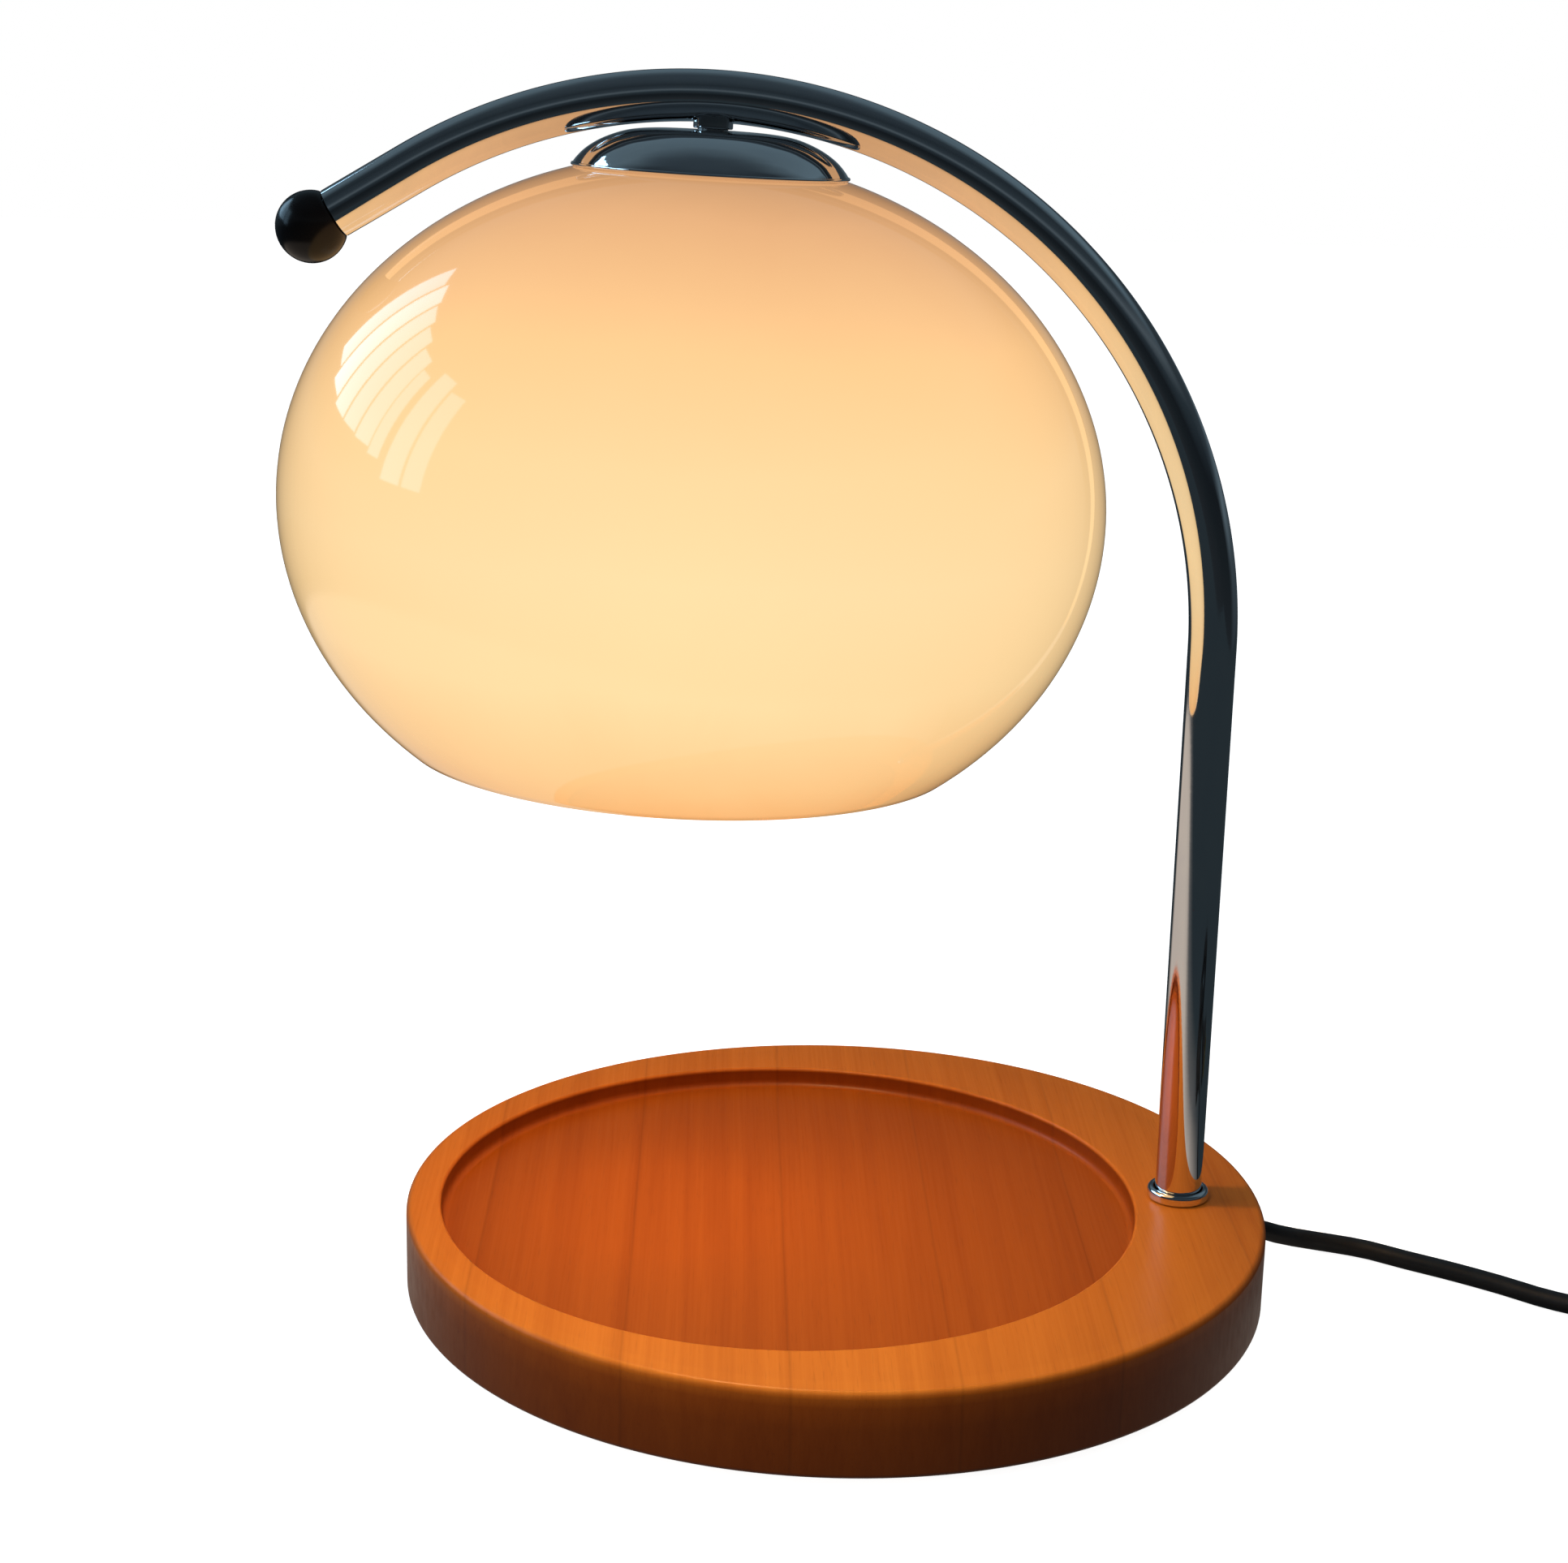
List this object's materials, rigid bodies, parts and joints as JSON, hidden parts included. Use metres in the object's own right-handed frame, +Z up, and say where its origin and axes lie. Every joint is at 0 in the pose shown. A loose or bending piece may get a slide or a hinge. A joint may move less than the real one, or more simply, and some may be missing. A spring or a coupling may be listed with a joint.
{
  "type": "candle warmer lamp",
  "caption": "Table lamp that warms a jar candle: wooden tray base, bent chrome arch with a ball end, hanging opal glass shade over a reflector bulb, dimmer and plug on its cord.",
  "frame": {"origin": "on the surface the lamp stands on, under the middle of the lamp's box without its cord", "axes": "+X from the shade towards the pole and the cord's outlet, +Y across the arch's plane, +Z up"},
  "size_m": [0.385, 0.2545, 0.254],
  "materials": {
    "base_disc": "stained and lacquered",
    "base_cover": "fine matt",
    "foot_1": "matt",
    "foot_2": "matt",
    "foot_3": "matt",
    "foot_4": "matt",
    "cover_screw_1": "plain",
    "cover_screw_2": "plain",
    "cover_screw_3": "plain",
    "ballast_plate": "plain",
    "ballast_screw_1": "plain",
    "ballast_screw_2": "plain",
    "foot_ring": "polished",
    "clamp_nut": "plain",
    "cord_bush": "matt",
    "lead_inside": "fine matt",
    "cord_clamp": "fine matt",
    "terminal_block": "glazed white ceramic",
    "clamp_screw": "plain",
    "block_screw": "plain",
    "arch_tube": "polished",
    "end_ball": "glossy",
    "wire_live": "insulation",
    "wire_neutral": "insulation",
    "stem": "plain",
    "cap": "polished",
    "cap_nut": "plain",
    "glass_shade": "glossy amber opal",
    "glass_seal": "translucent white silicone",
    "retainer_disc": "plain",
    "retainer_nut": "plain",
    "holder_bracket": "plain",
    "holder_screw_1": "plain",
    "holder_screw_2": "plain",
    "holder_nut": "plain",
    "lampholder": "glazed white ceramic",
    "contact_live": "plain",
    "contact_neutral": "plain",
    "bulb_base": "glazed white ceramic",
    "bulb_pin_live": "plain",
    "bulb_pin_neutral": "plain",
    "bulb_reflector": "vapour-coated glass",
    "bulb_lens": "clear",
    "bulb_capsule": "clear",
    "cord_to_dimmer": "fine matt",
    "dimmer_lower": "fine matt",
    "dimmer_upper": "fine matt",
    "dimmer_board": "circuit board",
    "dimmer_dial": "glossy",
    "dimmer_screw_1": "plain",
    "dimmer_screw_2": "plain",
    "relief_lamp_side": "matt",
    "relief_plug_side": "matt",
    "cord_to_coil": "fine matt",
    "cord_coil": "fine matt",
    "cord_to_plug": "fine matt",
    "plug_body": "fine matt",
    "plug_blade_1": "plain",
    "plug_blade_2": "plain"
  },
  "bodies": {
    "lamp": {"base_disc": "base_disc", "base_cover": "base_cover", "foot_1": "foot_1", "foot_2": "foot_2", "foot_3": "foot_3", "foot_4": "foot_4", "cover_screw_1": "cover_screw_1", "cover_screw_2": "cover_screw_2", "cover_screw_3": "cover_screw_3", "ballast_plate": "ballast_plate", "ballast_screw_1": "ballast_screw_1", "ballast_screw_2": "ballast_screw_2", "foot_ring": "foot_ring", "clamp_nut": "clamp_nut", "cord_bush": "cord_bush", "lead_inside": "lead_inside", "cord_clamp": "cord_clamp", "terminal_block": "terminal_block", "clamp_screw": "clamp_screw", "block_screw": "block_screw", "arch_tube": "arch_tube", "end_ball": "end_ball", "wire_live": "wire_live", "wire_neutral": "wire_neutral", "stem": "stem", "cap": "cap", "cap_nut": "cap_nut", "glass_shade": "glass_shade", "glass_seal": "glass_seal", "retainer_disc": "retainer_disc", "retainer_nut": "retainer_nut", "holder_bracket": "holder_bracket", "holder_screw_1": "holder_screw_1", "holder_screw_2": "holder_screw_2", "holder_nut": "holder_nut", "lampholder": "lampholder", "contact_live": "contact_live", "contact_neutral": "contact_neutral", "cord_to_dimmer": "cord_to_dimmer", "dimmer_lower": "dimmer_lower", "dimmer_upper": "dimmer_upper", "dimmer_board": "dimmer_board", "dimmer_screw_1": "dimmer_screw_1", "dimmer_screw_2": "dimmer_screw_2", "relief_lamp_side": "relief_lamp_side", "relief_plug_side": "relief_plug_side", "cord_to_coil": "cord_to_coil", "cord_coil": "cord_coil", "cord_to_plug": "cord_to_plug", "plug_body": "plug_body", "plug_blade_1": "plug_blade_1", "plug_blade_2": "plug_blade_2"},
    "bulb": {"bulb_base": "bulb_base", "bulb_pin_live": "bulb_pin_live", "bulb_pin_neutral": "bulb_pin_neutral", "bulb_reflector": "bulb_reflector", "bulb_lens": "bulb_lens", "bulb_capsule": "bulb_capsule"},
    "dial": {"dimmer_dial": "dimmer_dial"}
  },
  "joints": [
    {"name": "bulb_twist", "type": "hinge", "parent": "lamp", "child": "bulb", "pos_m": [-0.02086, 0, 0.16905], "axis": [0.0384, 0, 0.9993], "range_deg": [-30, 0]},
    {"name": "dial_turn", "type": "hinge", "parent": "lamp", "child": "dial", "pos_m": [0.1936, -0.0888, 0.018], "axis": [0, 0, 1], "range_deg": [0, 270]}
  ]
}
